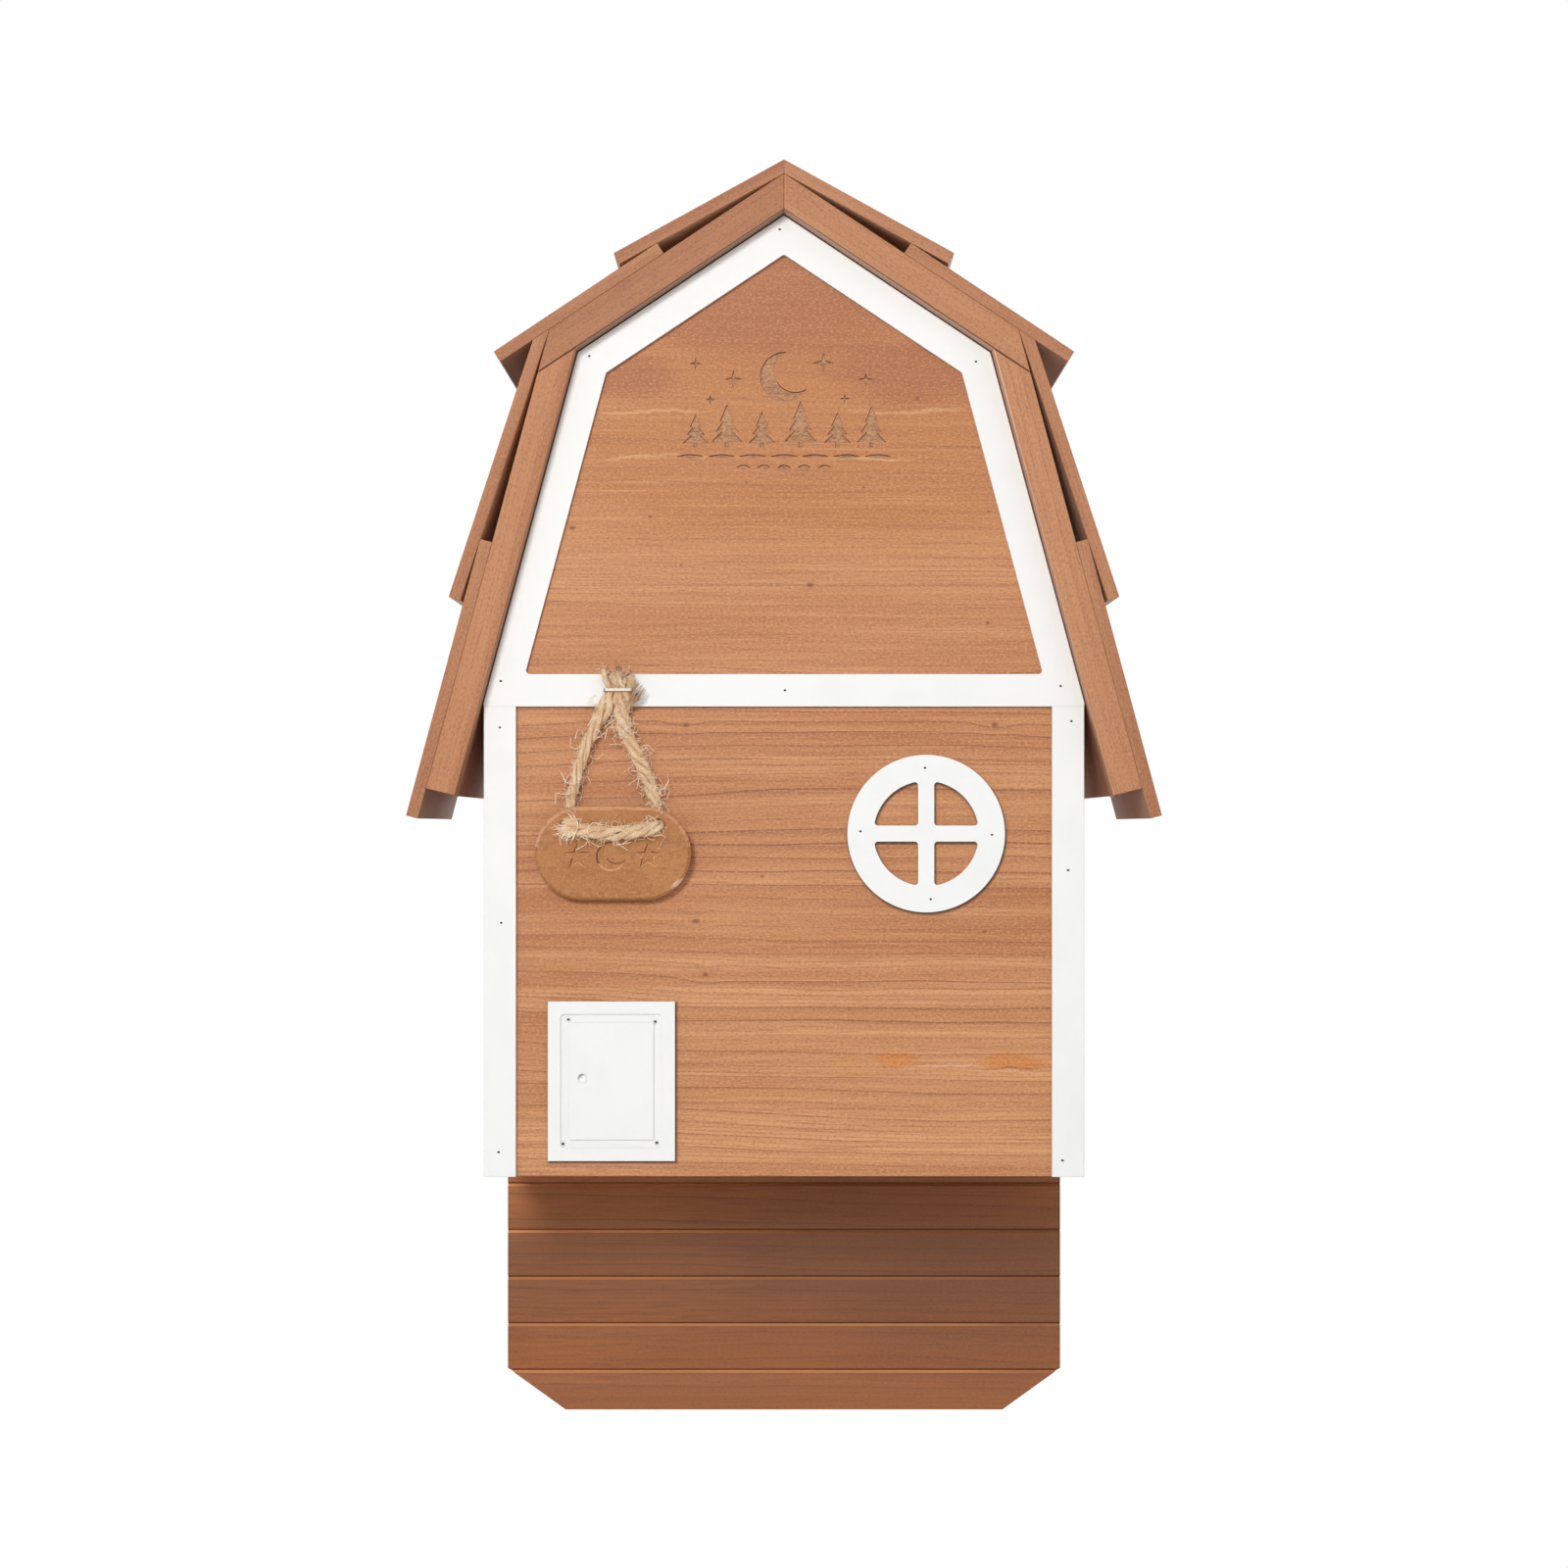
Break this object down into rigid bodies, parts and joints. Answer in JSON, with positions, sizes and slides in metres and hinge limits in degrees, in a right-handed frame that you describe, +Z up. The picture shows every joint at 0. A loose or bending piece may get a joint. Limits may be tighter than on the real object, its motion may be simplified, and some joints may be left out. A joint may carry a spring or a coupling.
{
  "type": "bat box",
  "caption": "Barn-shaped wall-hung bat box with lapped gambrel roof, grooved landing board, roost partitions and a roped sign that swings.",
  "frame": {"origin": "on the wall plane, midway across, level with the bottom edge of the front and side walls", "axes": "+Z up, +Y from the front into the wall, +X to the right seen from the front"},
  "size_m": [0.4068, 0.1567, 0.7025],
  "materials": {
    "stained_front_board": "clear-stained softwood, level grain",
    "stained_back_board": "stained softwood, grooved",
    "stained_side_board": "stained softwood",
    "stained_roof_deck": "stained softwood, grain down the slope",
    "stained_roof_board": "stained softwood, grain down the slope",
    "rough_inner_board": "rough-sawn bare softwood",
    "white_painted_wood": "matt white paint",
    "sign_board": "oiled fibreboard",
    "jute_rope": "laid jute rope, hairy",
    "galvanised_wire": "dull zinc",
    "brad_steel": "dull steel",
    "zinc_steel": "bright zinc"
  },
  "bodies": {
    "house": {"back_brads": "brad_steel", "back_panel": "stained_back_board", "door_plate": "white_painted_wood", "front_panel": "stained_front_board", "gable_trim": "white_painted_wood", "hanger_plate_left": "zinc_steel", "hanger_plate_right": "zinc_steel", "lower_deck_left": "stained_roof_deck", "lower_deck_right": "stained_roof_deck", "lower_eave_board_left": "stained_roof_board", "lower_eave_board_right": "stained_roof_board", "lower_top_board_left": "stained_roof_board", "lower_top_board_right": "stained_roof_board", "partition_brads": "brad_steel", "post_trim_left": "white_painted_wood", "post_trim_right": "white_painted_wood", "ridge_board_left": "stained_roof_board", "ridge_board_right": "stained_roof_board", "roof_brads": "brad_steel", "roost_partition_1": "rough_inner_board", "roost_partition_2": "rough_inner_board", "roost_partition_3": "rough_inner_board", "rope_ends": "jute_rope", "side_wall_left": "stained_side_board", "side_wall_right": "stained_side_board", "staple": "galvanised_wire", "trim_brads": "brad_steel", "upper_deck_left": "stained_roof_deck", "upper_deck_right": "stained_roof_deck", "upper_eave_board_left": "stained_roof_board", "upper_eave_board_right": "stained_roof_board", "window_ring": "white_painted_wood"},
    "sign": {"sign_plate": "sign_board", "rope_loop": "jute_rope"}
  },
  "joints": [
    {"name": "sign_swing", "type": "hinge", "parent": "house", "child": "sign", "pos_m": [-0.0895, -0.1413, 0.26388], "axis": [0, 1, 0], "range_deg": [-30, 30]}
  ]
}
